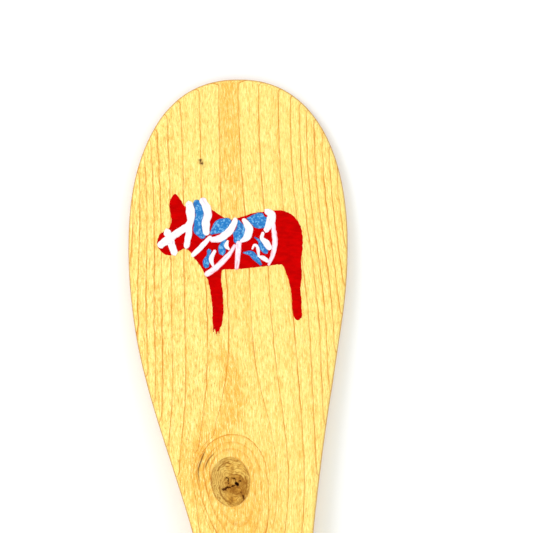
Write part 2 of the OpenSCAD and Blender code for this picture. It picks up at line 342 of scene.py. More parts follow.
knotPlace = spoonShape["neckPlace"] - knotShape["up"]
knotCentre = np.array([middle(knotPlace) - knotShape["side"], spoonShape["length"] / 2 - knotPlace,
                       faceHeight(knotPlace)])
turnMatrix = np.array(Matrix.Rotation(knotShape["turn"], 3, "Z")
                      @ Matrix.Rotation(-knotShape["lean"], 3, "X"))
knotSide, knotLength, knotAxis = turnMatrix.T  # across, along the face and out of the branch


def branchLoop(turn, onFace):
    # where the leaning cone's straight line at this turn meets the sloping face, or the flat underside
    radius, lose = knotShape["diameter"] / 2, knotShape["taper"] / 2
    out = np.cos(turn)[:, None] * knotSide + np.sin(turn)[:, None] * knotLength
    slope = math.tan(spoonShape["faceSlope"]) if onFace else 0.0
    drop = 0.0 if onFace else knotCentre[2]
    rise = out[:, 2] + slope * out[:, 1]
    along = -(drop + radius * rise) / (knotAxis[2] + slope * knotAxis[1] + lose * rise)
    return knotCentre + along[:, None] * knotAxis + (radius + lose * along)[:, None] * out


def bendRoundHole(x, y, loop):
    # grid points near the hole move so that a square of rows and columns becomes the hole's own outline:
    # the square (u, v) maps to the disc (u sqrt(1 - v^2/2), v sqrt(1 - u^2/2)), faded out with distance
    k = knotShape
    centre = loop[:, :2].mean(0)
    gap = (x - centre[0]) ** 2 + (y - centre[1]) ** 2
    row, column = np.unravel_index(gap[2:-2].argmin(), gap[2:-2].shape)
    row += 2
    v = (row - np.arange(x.shape[0])[:, None]) / k["holeRows"]
    u = (np.arange(x.shape[1])[None, :] - column) / k["holeColumns"]
    square = np.maximum(np.maximum(np.abs(u), np.abs(v)), 1e-6)
    discX, discY = u * np.sqrt(1 - (v / square) ** 2 / 2), v * np.sqrt(1 - (u / square) ** 2 / 2)
    angle = np.arctan2(discY, discX)
    spokes = np.arctan2(loop[:, 1] - centre[1], loop[:, 0] - centre[0])
    order = np.argsort(spokes)
    loopX = np.interp(angle, spokes[order], loop[order, 0] - centre[0], period=2 * math.pi)
    loopY = np.interp(angle, spokes[order], loop[order, 1] - centre[1], period=2 * math.pi)
    fade = 1 - smooth((square - 1) / (k["reach"] - 1))
    inside = (np.abs(u) < 0.999) & (np.abs(v) < 0.999)
    return (mix(x, centre[0] + loopX * square, fade), mix(y, centre[1] + loopY * square, fade),
            (row, column), inside)


def holeRim(row, column):
    # the grid indices round the square hole, in order
    a, b = knotShape["holeRows"], knotShape["holeColumns"]
    i = np.concatenate([np.full(2 * b, -a), np.arange(-a, a), np.full(2 * b, a), np.arange(a, -a, -1)])
    j = np.concatenate([np.arange(-b, b), np.full(2 * a, b), np.arange(b, -b, -1), np.full(2 * a, -b)])
    return row + i, column + j


grain = {
    "pithDepth": 10.2 * mm,  # the tree's pith lies this far under the face
    "pithSide": -1.4 * mm,  # its place across at the tip
    "pithDrift": 2.1 * mm,  # how far it wanders across by the neck
    "driftLength": 50 * mm,
    "levelPlace": 80 * mm,  # the grain follows the face as far as this, then runs nearly level
    "levelSlope": 0.02,
    "tipSqueeze": 0.1,  # the rings lie this share closer together across the tip
    "squeezeFrom": 12 * mm,
    "squeezeTo": 38 * mm,
    "swell": 5.0 * mm,  # how much the rings bulge round the knot
    "swellLength": 11 * mm,
    "swellWidth": 22 * mm,
    "ovalSide": 0.05 * mm,  # middle of the oval rings, from the knot's own middle
    "ovalUp": 1.5 * mm,
    "ovalDrift": 0.16,  # how far they lean sideways for each millimetre down
    "ovalWidth": 5.2 * mm,  # half the width of the ring that closes round the knot
    "ovalLength": 6.0 * mm,  # its length towards the tip
    "ovalTail": 12.5 * mm,  # and towards the handle
    "ovalRadius": 9.3 * mm,  # the growth ring that it is
    "ovalRise": 0.92,  # growth of the rings inside that one, and outside it
    "outerRise": 3.2,
    "ovalBlend": 0.14 * mm,
    "wander": 0.1 * mm,  # sideways waviness of the ring lines
    "slowWaves": (7, 16 * mm, 4),  # their number, size and seed, and how much shorter they are across
    "slowAcross": 2.5,
    "quickWaves": (9, 3.5 * mm, 5),
    "quickAcross": 2.0,
    "quickShare": 0.35,
    "leastSlope": 0.012,  # keeps a line thin where a ring only grazes the face
    "branchSlope": 0.85,
    "nearFrom": 0.6,  # the wood darkens inside this share of the oval
    "nearFade": 1.6,
    "quietFrom": 0.95,  # the rings inside the closing oval are faint, except far left
    "quietBlend": 0.05,
    "quietSide": 3.2,
    "quietReach": 1.5,
    "tilt": 0.35,  # how much the fibres follow the rings
    # distance of each growth ring from the pith
    "radii": np.array([0.5, 1.9, 3.1, 4.3, 5.5, 6.6, 7.6, 8.4, 9.3, 10.35, 11.3, 12.95, 14.3, 15.4,
                       16.2, 17.1, 18.0, 18.8, 19.7, 20.6, 21.5]) * mm,
    # dark cracks beside the knot: [across, up, half width] in millimetres from the knot's middle
    "cracks": [
        [[-3.6, 5.2, -0.2], [-3.9, 4.6, 0.03], [-4.5, 2.9, 0.07], [-4.72, 1.9, 0.05], [-4.6, 0.6, -0.02],
         [-4.2, -0.8, -0.2]],
        [[-2.2, 5.0, -0.2], [-2.5, 4.5, 0.0], [-3.2, 3.7, 0.03], [-3.65, 2.6, 0.02], [-3.8, 1.6, -0.2]],
    ],
    # a browner cloud that runs down to the knot, as the cracks are given
    "cloud": [[-1.3, 20.0, 0.3], [0.1, 15.6, 0.5], [0.7, 11.9, 0.7], [-0.4, 9.3, 0.5], [-2.8, 6.1, 0.4]],
    # the little brown pin mark above the horse: [across, down, half width] in millimetres from the tip
    "pin": [[-5.5, 12.0, 0.24], [-5.4, 12.25, 0.16], [-5.0, 12.8, 0.06]],
    "cloudReach": 1.1,
    "cloudWaves": (12, 1.7, 42),
    "cloudSqueeze": (1.6, 0.8),  # how much shorter its waves are across, and along
    "cloudLevels": (0.75, 0.4, 1.2),  # its mean, the share of the waves and its most
    "bruise": (-4.7, 3.0, 1.5, 4.5),  # a darker patch: middle across and up, then its two sizes
    "band": (1.5, 46 * mm),  # half width of the warm band over the pith, and where it ends
    "warmShares": (0.75, 0.5, 0.68),  # of bruise, band and cloud
    "wear": (0.22, 0.6, 0.8, 1.0),  # edge tilt where the painted edge shade (partly browner end grain) starts, is full, falls and ends
    "edgeShadeShare": 0.85,
    "edgeShadeLost": 0.88,
}


def lineSide(x, y, path, steps=8):
    # signed distance to the nearest straight bit of a curved line, and the line's own half width there
    run = spline(path, steps)
    side, half = np.full(np.shape(x), 1e3), np.zeros(np.shape(x))
    for (ax, ay, ah), (bx, by, bh) in zip(run[:-1], run[1:]):
        dx, dy = bx - ax, by - ay
        t = np.clip(((x - ax) * dx + (y - ay) * dy) / (dx * dx + dy * dy), 0, 1)
        gap = np.hypot(x - ax - t * dx, y - ay - t * dy)
        nearer = gap < np.abs(side)
        sign = np.where((x - ax) * dy - (y - ay) * dx < 0, -1.0, 1.0)
        side, half = np.where(nearer, gap * sign, side), np.where(nearer, mix(ah, bh, t), half)
    return side, half


def lineGap(x, y, path):
    # distance to the line's edge, negative inside it
    side, half = lineSide(x, y, path)
    return np.abs(side) - half


def grainRings(points, normals):
    # ring distance from the pith line, pulled in by a bell-shaped bulge round the knot, joined by a smooth
    # minimum to ovals round the knot, and the distance on the face from one ring to the next
    k, g = spoonShape, grain
    x, y, z = points.T
    s = k["length"] / 2 - y
    lift = np.minimum(s, g["levelPlace"]) * math.tan(k["faceSlope"])
    lift = lift + np.clip(s - g["levelPlace"], 0, None) * g["levelSlope"]
    depth = z - (k["tipThickness"] + lift - g["pithDepth"])
    pith = g["pithSide"] + g["pithDrift"] * smooth(s / g["driftLength"])
    wave = ripples(x * g["slowAcross"], y, *g["slowWaves"])
    wave = g["wander"] * (wave + g["quickShare"] * ripples(x * g["quickAcross"], y, *g["quickWaves"]))
    easing = smooth((s - g["squeezeFrom"]) / (g["squeezeTo"] - g["squeezeFrom"]))
    squeeze = 1 + g["tipSqueeze"] * (1 - easing)
    aside = (x - pith + wave) * squeeze
    along = (z - knotCentre[2]) / knotAxis[2]
    offX, offY = x - knotCentre[0] - along * knotAxis[0], y - knotCentre[1] - along * knotAxis[1]
    bulge = g["swell"] ** 2 * np.exp(-(offY / g["swellLength"]) ** 2 - (offX / g["swellWidth"]) ** 2)
    trunk = np.sqrt(np.clip(aside**2 + depth**2 - bulge, (0.2 * mm) ** 2, None))
    ovalY = offY - g["ovalUp"]
    ovalX = offX - g["ovalSide"] + wave - g["ovalDrift"] * np.clip(-ovalY, 0, 10 * mm)
    oval = np.hypot(ovalX / g["ovalWidth"], ovalY / np.where(ovalY > 0, g["ovalLength"], g["ovalTail"]))
    rise = g["ovalWidth"] * np.where(oval < 1, g["ovalRise"], g["outerRise"])
    branch = g["ovalRadius"] + (oval - 1) * rise
    w = g["ovalBlend"]
    low = np.minimum(trunk, branch)
    radius = low - w * np.log(np.exp(-(trunk - low) / w) + np.exp(-(branch - low) / w))
    ringWidth = np.interp(radius, (g["radii"][1:] + g["radii"][:-1]) / 2, np.diff(g["radii"]))
    across = np.abs(normals[:, 0] * aside + normals[:, 2] * depth) / np.maximum(trunk, 1 * mm)
    ofBranch = 1 / (1 + np.exp(np.clip((branch - trunk) / w, -30, 30)))
    ofTrunk = np.sqrt(np.clip(1 - across**2, g["leastSlope"], 1))
    spread = ringWidth / mix(ofTrunk, g["branchSlope"] * g["ovalRise"], ofBranch)
    age = np.interp(radius, g["radii"], np.arange(len(g["radii"])))
    return aside, depth, trunk, offX / mm, offY / mm, oval, age, spread / mm


def grainFields(points, normals):
    # what the wood's material reads: ring age and spread, and bell curves of the distance to each mark
    k, g = spoonShape, grain
    x, y, z = points.T
    s = k["length"] / 2 - y
    aside, depth, trunk, cx, cy, oval, age, spread = grainRings(points, normals)
    quiet = smooth((g["quietFrom"] - oval) / g["quietBlend"])
    quiet = quiet * smooth((cx + g["quietSide"]) / g["quietReach"])
    unseen = np.where(z > 0.5 * faceHeight(s), 0.0, 9.0)  # marks on the face don't show underneath
    cracks = {}
    for index, line in enumerate(g["cracks"]):
        side, half = lineSide(cx, cy, line)
        cracks[f"crackSide{index}"], cracks[f"crackHalf{index}"] = np.clip(side, -3, 3), half - unseen
    middleX, middleY, sizeX, sizeY = g["bruise"]
    bruise = np.exp(-((cx - middleX) / sizeX) ** 2 - ((cy - middleY) / sizeY) ** 2)
    cloud = np.exp(-(np.clip(lineGap(cx, cy, g["cloud"]), 0, None) / g["cloudReach"]) ** 2)
    (shortX, shortY), (mean, swing, most) = g["cloudSqueeze"], g["cloudLevels"]
    cloud = cloud * (mean + swing * ripples(cx * shortX, cy * shortY, *g["cloudWaves"]))
    cloud = np.clip(cloud, 0, most)
    band = np.exp(-((aside / mm) / g["band"][0]) ** 4) * smooth(1 - s / g["band"][1])
    # the edges' tilt from level drives a painted shade on the rounded edges, partly meant as browner end
    # grain at the tip
    tilted = 1 - np.abs(normals[:, 2])
    start, full, fall, end = g["wear"]
    sharp = np.clip(k["bladeEdge"] / np.maximum(edgeRadius(s), 1e-6), 0, 1) ** 1.5
    wear = smooth((tilted - start) / (full - start))
    wear = wear * (1 - g["edgeShadeLost"] * smooth((tilted - fall) / (end - fall)))
    return {"grainPlace": np.stack([aside + g["tilt"] * (trunk - depth), y, depth], 1) / mm,
            "ringAge": age, "ringSpread": spread, "ringQuiet": quiet,
            "nearKnot": np.exp(-np.clip(oval - g["nearFrom"], 0, None) * g["nearFade"]),
            "pinGap": lineGap(x / mm, s / mm, g["pin"]) + unseen,
            "warmth": np.dot(g["warmShares"], [bruise, band, cloud]),
            "edgeShadeAndEndGrain": g["edgeShadeShare"] * sharp * wear, **cracks}


def bodyMesh():
    # closed rings round the outline carry the rounded edge, a quarter circle above and another below;
    # straight rows across close the face and underside
    k = spoonShape
    s = stationList()
    n = len(s)
    right = np.stack([middle(s) + halfWidth(s), k["length"] / 2 - s], 1)
    left = np.stack([middle(s) - halfWidth(s), k["length"] / 2 - s], 1)
    outline = np.vstack([right, left[-2:0:-1]])
    step = np.roll(outline, -1, 0) - np.roll(outline, 1, 0)
    outward = np.stack([-step[:, 1], step[:, 0]], 1) / np.linalg.norm(step, axis=1)[:, None]
    radius = edgeRadius(k["length"] / 2 - outline[:, 1])
    turns = np.linspace(0, math.pi / 2, k["rimSteps"] + 1)
    rims = []
    for turn in np.concatenate([-turns[::-1], turns]):  # one pass for each ring of the rounded edge
        plan = outline - outward * (radius * (1 - math.cos(turn)))[:, None]
        upper = faceHeight(k["length"] / 2 - plan[:, 1]) - radius * (1 - math.sin(turn))
        onUpper = len(rims) > k["rimSteps"]
        rims.append(np.column_stack([plan, upper if onUpper else radius * (1 + math.sin(turn))]))
    points = np.vstack([np.vstack([r, r[:1]]) for r in rims])
    quads = [gridFaces(len(rims), len(outline) + 1)[:, ::-1]]
    loops = []
    for onFace in (True, False):
        inner = rims[-1] if onFace else rims[0]
        edgeRight, edgeLeft = inner[:n], np.vstack([inner[:1], inner[:n - 1:-1], inner[n - 1:n]])
        share = np.linspace(0, 1, k["across"] + 1)[None, :]
        x = mix(edgeLeft[:, :1], edgeRight[:, :1], share)
        y = mix(edgeLeft[:, 1:2], edgeRight[:, 1:2], share)
        loop = branchLoop(np.linspace(0, 2 * math.pi, knotShape["loopPoints"], endpoint=False), onFace)
        x, y, (row, column), inside = bendRoundHole(x, y, loop)
        z = faceHeight(k["length"] / 2 - y) if onFace else np.zeros_like(y)
        start = len(points)
        points = np.vstack([points, np.stack([x, y, z], -1).reshape(-1, 3)])
        cells = gridFaces(n, k["across"] + 1, start)
        around = cells[~inside.ravel()[cells - start].any(1)]
        quads.append(around if not onFace else around[:, ::-1])
        rowIds, columnIds = holeRim(row, column)
        loops.append(start + rowIds * (k["across"] + 1) + columnIds)
    top, bottom = (np.append(loop, loop[0]) for loop in loops)
    quads.append(np.stack([bottom[:-1], bottom[1:], top[1:], top[:-1]], 1))
    return points, np.vstack(quads)


def pointNormals(points, quads):
    # each point's normal is the sum of its faces' normals, from the cross product of their diagonals
    a = points[quads]
    cross = np.cross(a[:, 2] - a[:, 0], a[:, 3] - a[:, 1])
    total = np.zeros_like(points)
    for corner in range(4):
        np.add.at(total, quads[:, corner], cross)
    return total / np.maximum(np.linalg.norm(total, axis=1), 1e-15)[:, None]


woodLook = {
    "lineRange": (0.27, 0.03),  # millimetres before a year's end where its line starts and is dark
    "lineShare": 0.95,
    "lineWider": -0.4,  # change of that distance close to the knot
    "lineQuiet": -0.7,  # change of the line's strength inside the oval
    "lineSink": 0.12,
    "breakScale": (0.9, 0.22, 0.9),
    "breakRange": (0.32, 0.62, (0.5, 1.0)),
    "lateRange": (0.3, 1.0),  # the share of a year over which its wood darkens
    "lateTone": 0.22,
    "yearTone": 0.2,  # how much one year differs from the next
    "nearTone": 0.55,
    "toneRange": (0.0, 1.15),
    "fibreTones": {"Blotch": (0.3, 0.75, (-0.1, 0.3)), "Long": (0.3, 0.7, (-0.18, 0.2))},
    # layers: value, where it starts, where it is full, its share and its colour
    "fibreLayers": [("Fine", 0.5, 0.72, 0.75, "fibre"), ("Fine", 0.48, 0.3, 0.8, "pale"),
                    ("Pores", 0.5, 0.7, 0.85, "pore"), ("Pores", 0.48, 0.3, 0.9, "pale")],
    "crackLayers": [(0.2, 0.0, 0.45, "knotLine"), (0.06, -0.03, 0.8, "crack")],
    "pinLayers": [(0.3, 0.0, 0.6, "knotLine"), (0.12, -0.04, 1.0, "pin")],
    "roughRange": (0.3, 0.7, (0.48, 0.62)),
    "cream": colour(250, 224, 124),
    "honey": colour(243, 184, 72),
    "fibre": colour(232, 164, 66),
    "pale": colour(254, 243, 160),
    "pore": colour(214, 146, 60),
    "line": colour(214, 122, 14),
    "ovalLine": colour(206, 116, 12),
    "knotLine": colour(150, 84, 20),
    "crack": colour(118, 62, 10),
    "pin": colour(70, 36, 4),
    # brown laid on the rounded edges by their tilt: painted edge shade, partly browner end grain
    "edge": colour(184, 118, 48),
}


def woodMaterial():
    # cream early wood, honey late wood, a thin brown line where each year ends, fibres and pores over all,
    # and painted shade on the rounded edges
    look = woodLook
    material, tree, shader = newMaterial("spoonWood", Roughness=0.55, Specular_IOR_Level=0.15)
    place = field(tree, "grainPlace", "Vector")
    fibres = useGroup(tree, fibreGroup, Grain=place)
    age, near = field(tree, "ringAge"), field(tree, "nearKnot")
    part = calc(tree, "FRACT", age)
    year = wire(tree, "ShaderNodeTexWhiteNoise", {"noise_dimensions": "1D"}, W=calc(tree, "FLOOR", age))
    gap = times(tree, calc(tree, "SUBTRACT", 1.0, part), field(tree, "ringSpread"))
    gap = times(tree, gap, calc(tree, "MULTIPLY_ADD", near, look["lineWider"], 1.0))
    broken = noise(tree, stretched(tree, place, look["breakScale"]), detail=3.0, roughness=0.6)
    line = times(tree, between(tree, gap, *look["lineRange"]), between(tree, broken, *look["breakRange"]))
    line = times(tree, line, calc(tree, "MULTIPLY_ADD", field(tree, "ringQuiet"), look["lineQuiet"], 1.0))
    tone = times(tree, year.outputs["Value"], look["yearTone"])
    tone = calc(tree, "MULTIPLY_ADD", between(tree, part, *look["lateRange"]), look["lateTone"], tone)
    for mark, limits in look["fibreTones"].items():
        tone = calc(tree, "ADD", tone, between(tree, fibres[mark], *limits))
    tone = calc(tree, "ADD", tone, field(tree, "warmth"))
    tone = calc(tree, "MULTIPLY_ADD", near, look["nearTone"], tone)
    base = blend(tree, between(tree, tone, *look["toneRange"]), look["cream"], look["honey"])
    for mark, low, high, share, over in look["fibreLayers"]:
        base = layer(tree, base, fibres[mark], low, high, share, look[over])
    ringColour = blend(tree, near, look["line"], look["ovalLine"])
    base = blend(tree, times(tree, line, look["lineShare"]), base, ringColour)
    # painted shade on the rounded edges, stronger where they tilt away from level; partly browner end grain
    # at the tip
    base = blend(tree, field(tree, "edgeShadeAndEndGrain"), base, look["edge"])
    for index in range(len(grain["cracks"])):
        gap = calc(tree, "ABSOLUTE", field(tree, f"crackSide{index}"))
        gap = calc(tree, "SUBTRACT", gap, field(tree, f"crackHalf{index}"))
        for low, high, share, over in look["crackLayers"]:
            base = layer(tree, base, gap, low, high, share, look[over])
    for low, high, share, over in look["pinLayers"]:
        base = layer(tree, base, field(tree, "pinGap"), low, high, share, look[over])
    tree.links.new(base, shader.inputs["Base Color"])
    tree.links.new(between(tree, fibres["Fine"], *look["roughRange"]), shader.inputs["Roughness"])
    height = calc(tree, "SUBTRACT", fibres["Height"], times(tree, line, look["lineSink"]))
    addBump(tree, shader, height, strength=0.35, distance=0.06 * mm)
    return material


points, quads = bodyMesh()
normals = pointNormals(points, quads)
fields = grainFields(points, normals)
carving = ripples(points[:, 0], points[:, 1] * 0.4, *spoonShape["carvingWaves"]) * spoonShape["carving"]
clear = np.clip(points[:, 2] / (1 * mm), 0, 1) * np.clip(1 - fields["nearKnot"], 0, 1)
points = points - normals * (np.abs(carving) * clear)[:, None]
makePiece("carvedSpoon", ["spoon_body"], woodMaterial(), points, quads, fields)
print("carved spoon made:", len(quads), "faces")

knotLook = {
    "outer": colour(240, 196, 96),
    "outerDark": colour(216, 158, 62),
    "base": colour(212, 150, 52),
    "dark": colour(158, 102, 26),
    "grey": colour(220, 178, 92),
    "line": colour(146, 88, 16),
    "deep": colour(104, 46, 4),
    "hollow": colour(64, 20, 4),
    # marks in millimetres from the knot's middle: [across, up, half width] along each line
    "hole": [[0.8, 0.05, 0.16], [0.95, -0.15, 0.2]],
    "cracks": [
        [[-1.2, -0.9, 0.12], [-0.85, -0.85, 0.17], [-0.45, -0.6, 0.1], [0.1, -0.5, 0.04],
         [0.75, -0.15, 0.05]],
        [[-0.75, 0.75, 0.0], [-0.45, 0.85, 0.05], [-0.3, 0.4, 0.03], [-0.35, 0.0, 0.06]],
        [[0.2, 0.8, 0.0], [0.55, 0.75, 0.05], [0.65, 0.4, 0.02]],
        [[1.3, 0.85, 0.0], [1.4, 0.5, 0.05], [1.15, 0.25, 0.03]],
        [[1.45, -1.3, 0.0], [1.8, -1.8, 0.04], [1.9, -2.5, 0.04], [1.75, -3.0, 0.0]],
    ],
    "curls": [
        [[0.95, -0.5, 0.03], [0.45, -0.75, 0.04], [0.35, -1.2, 0.04], [0.75, -1.6, 0.05], [1.3, -1.45, 0.04],
         [1.5, -1.0, 0.03], [1.2, -0.6, 0.03]],
        [[-0.9, 2.9, 0.02], [-0.5, 3.15, 0.04], [-0.1, 2.95, 0.03], [-0.3, 2.6, 0.03], [-0.75, 2.55, 0.02]],
        [[-1.9, 1.9, 0.02], [-1.6, 2.5, 0.04], [-1.1, 2.95, 0.03], [-0.3, 3.35, 0.02]],
        [[2.0, 1.2, 0.02], [2.25, 0.4, 0.04], [2.3, -0.4, 0.03], [2.1, -1.2, 0.02]],
        [[-0.2, 1.3, 0.02], [0.8, 1.35, 0.04], [1.6, 1.0, 0.04], [1.8, 0.3, 0.03]],
        [[-1.7, -0.2, 0.02], [-1.5, -1.4, 0.04], [-0.9, -2.3, 0.05], [0.0, -3.0, 0.04]],
    ],
    "core": [0.75, -0.9, 2.0],  # middle and radius of the darkest wood
    "middle": (0.35, -0.35),  # of the rings, which lie this far apart
    "ringStep": 0.37,
    "size": (2.75, 3.65),  # half its width and length on the face
    "depthRows": 25,
    # waves that roughen each mark: how many, their size, their seed and their height
    "ringWaves": [(9, 2.4, 21, 0.22), (9, 0.9, 22, 0.08)],
    "crackWaves": [(8, 0.4, 23, 0.07)],
    "curlWaves": [(8, 0.7, 27, 0.04)],
    "holeWaves": [(6, 0.5, 24, 0.04)],
    "coreWaves": [(9, 1.6, 26, 0.22)],
    # how the mesh sinks at a mark: its attribute, the depth, the distance over which it falls, and its start
    "sinks": [("crackGap", 0.35 * mm, 0.12, 0.4), ("holeGap", 0.7 * mm, 0.2, 0.3)],
    "roughness": 0.012 * mm,
    "roughWaves": (9, 1.1 * mm, 25),
    "roughEdge": 0.1,  # share of the knot's radius over which the roughness and the rise start
    "proudEdge": 0.06,
    # noises, as the fibre marks are given
    "noises": {
        "blotch": ((0.9, 0.8, 0.8), 4.0, 0.62, 0.7),
        "fine": ((3.6, 3.2, 3.0), 3.0, 0.7, 0.4),
        "spots": ((2.1, 1.9, 1.5), 3.0, 0.7, 0.8),
        "patches": ((1.5, 1.3, 1.0), 2.0, 0.6),
    },
    "outerRange": (0.36, 0.66),
    "innerRange": (0.36, 0.62),
    "spotLayer": (0.53, 0.68, 0.85),
    "greyShare": 0.6,
    "greyRange": (-0.2, 1.6),  # where the grey starts, left of the middle, and how far it takes to grow
    "fineLayers": [(0.5, 0.78, 0.55, "dark"), (0.45, 0.25, 0.5, "outer")],
    "patchRange": (0.3, 0.55, (0.15, 1.0)),
    "ringRise": (0.35, 0.85),  # the share of a ring over which its line darkens, and over which it ends
    "ringFall": (1.0, 0.93),
    "ringShare": 0.62,
    "rimRange": (0.06, 0.01),
    "rimShare": 0.4,
    # layers over the two-toned wood: attribute, where it starts, where it is full, its share and its colour
    "marks": [("curlGap", 0.12, 0.0, 0.8, "line"), ("crackGap", 0.45, 0.0, 0.55, "line"),
              ("crackGap", 0.1, -0.06, 0.85, "deep"), ("holeGap", 0.14, -0.02, 1.0, "hollow")],
}


def knotMesh():
    # rings of points shrink from the hole's own outline to its middle, on the face, down the side and below
    k = knotShape
    turn = np.linspace(0, 2 * math.pi, k["spokes"] + 1)
    top, bottom = branchLoop(turn, True), branchLoop(turn, False)
    share = np.linspace(0, 1, k["rings"] + 1)[1:, None, None]
    depth = np.linspace(0, 1, knotLook["depthRows"])[:, None, None]
    topMiddle, lowMiddle = top[:-1].mean(0), bottom[:-1].mean(0)
    upper = topMiddle + share * (top - topMiddle)
    side = mix(top[None], bottom[None], depth)[1:]
    lower = lowMiddle + share[::-1][1:] * (bottom - lowMiddle)
    poles = (np.repeat(pole[None, None], len(turn), 1) for pole in (topMiddle, lowMiddle))
    return np.concatenate([next(poles), upper, side, lower, next(poles)])


def knotFields(points, onTop):
    # wobbly rings round the pip, and how near each point is to a crack, in millimetres
    look = knotLook
    x, y = ((points[:, axis] - knotCentre[axis]) / mm for axis in (0, 1))
    lean = (points[:, 2] - knotCentre[2]) / mm / knotAxis[2]
    x, y = x - lean * knotAxis[0], y - lean * knotAxis[1]

    def rough(name):
        # the sum of the named waves at every point
        return sum(height * ripples(x, y, *waves) for *waves, height in look[name])

    def nearest(name):
        # distance to the nearest of the named lines
        return np.minimum.reduce([lineGap(x, y, line) for line in look[name]])

    reach = np.hypot((x - look["middle"][0]) * 1.15, (y - look["middle"][1]) * 0.86)
    cx, cy, radius = look["core"]
    greyFrom, greyFade = look["greyRange"]
    core = np.exp(-(np.hypot(x - cx, (y - cy) * 0.8) / radius) ** 4) + rough("coreWaves")
    return {"knotPlace": np.stack([x, y, lean], 1),
            "knotAge": (reach + rough("ringWaves")) / look["ringStep"],
            "crackGap": nearest("cracks") + rough("crackWaves"),
            "holeGap": lineGap(x, y, look["hole"]) + rough("holeWaves"),
            "curlGap": nearest("curls") + rough("curlWaves"),
            "rimGap": 1 - np.hypot(x / look["size"][0], y / look["size"][1]),
            "coreShare": np.clip(core, 0, 1), "greyShare": smooth((greyFrom - x) / greyFade) * onTop}


def knotMaterial():
    # brown heartwood in wobbly rings, greyer on its left, nearly black in the cracks and in the pip
    material, tree, shader = newMaterial("knotWood", Roughness=0.6, Specular_IOR_Level=0.12)
    look = knotLook
    place = field(tree, "knotPlace", "Vector")
    blotch, fine, spots, patches = stretchedNoises(tree, place, look["noises"]).values()
    base = blend(tree, between(tree, blotch, *look["outerRange"]), look["outer"], look["outerDark"])
    inner = blend(tree, between(tree, blotch, *look["innerRange"]), look["base"], look["dark"])
    inner = layer(tree, inner, spots, *look["spotLayer"], look["line"])
    base = blend(tree, field(tree, "coreShare"), base, inner)
    base = blend(tree, times(tree, field(tree, "greyShare"), look["greyShare"]), base, look["grey"])
    for low, high, share, over in look["fineLayers"]:
        base = layer(tree, base, fine, low, high, share, look[over])
    part = calc(tree, "FRACT", field(tree, "knotAge"))
    patchy = between(tree, patches, *look["patchRange"])
    ring = times(tree, between(tree, part, *look["ringRise"]), between(tree, part, *look["ringFall"]))
    ring = times(tree, ring, patchy)
    base = blend(tree, times(tree, ring, look["ringShare"]), base, look["line"])
    rim = times(tree, between(tree, field(tree, "rimGap"), *look["rimRange"]), patchy)
    base = blend(tree, times(tree, rim, look["rimShare"]), base, look["line"])
    for name, low, high, share, over in look["marks"]:
        base = layer(tree, base, field(tree, name), low, high, share, look[over])
    tree.links.new(base, shader.inputs["Base Color"])
    height = calc(tree, "SUBTRACT", calc(tree, "MULTIPLY_ADD", fine, 0.5, times(tree, blotch, 0.4)), ring)
    addBump(tree, shader, height, strength=0.3, distance=0.06 * mm)
    return material


grid = knotMesh()
points = grid.reshape(-1, 3)
onTop = (np.arange(len(points)) < (knotShape["rings"] + 1) * grid.shape[1]).astype(float)
fields = knotFields(points, onTop)
sink = sum(depth * smooth(-fields[name] / reach + start) for name, depth, reach, start in knotLook["sinks"])
rough = ripples(points[:, 0], points[:, 1], *knotLook["roughWaves"])
rough = rough * smooth(fields["rimGap"] / knotLook["roughEdge"])
proud = knotShape["proud"] * smooth(fields["rimGap"] / knotLook["proudEdge"])
relief = proud - sink + knotLook["roughness"] * rough
points[:, 2] += relief * onTop
makePiece("grownKnot", ["knot"], knotMaterial(), points, gridFaces(*grid.shape[:2]), fields)
print("knot made")

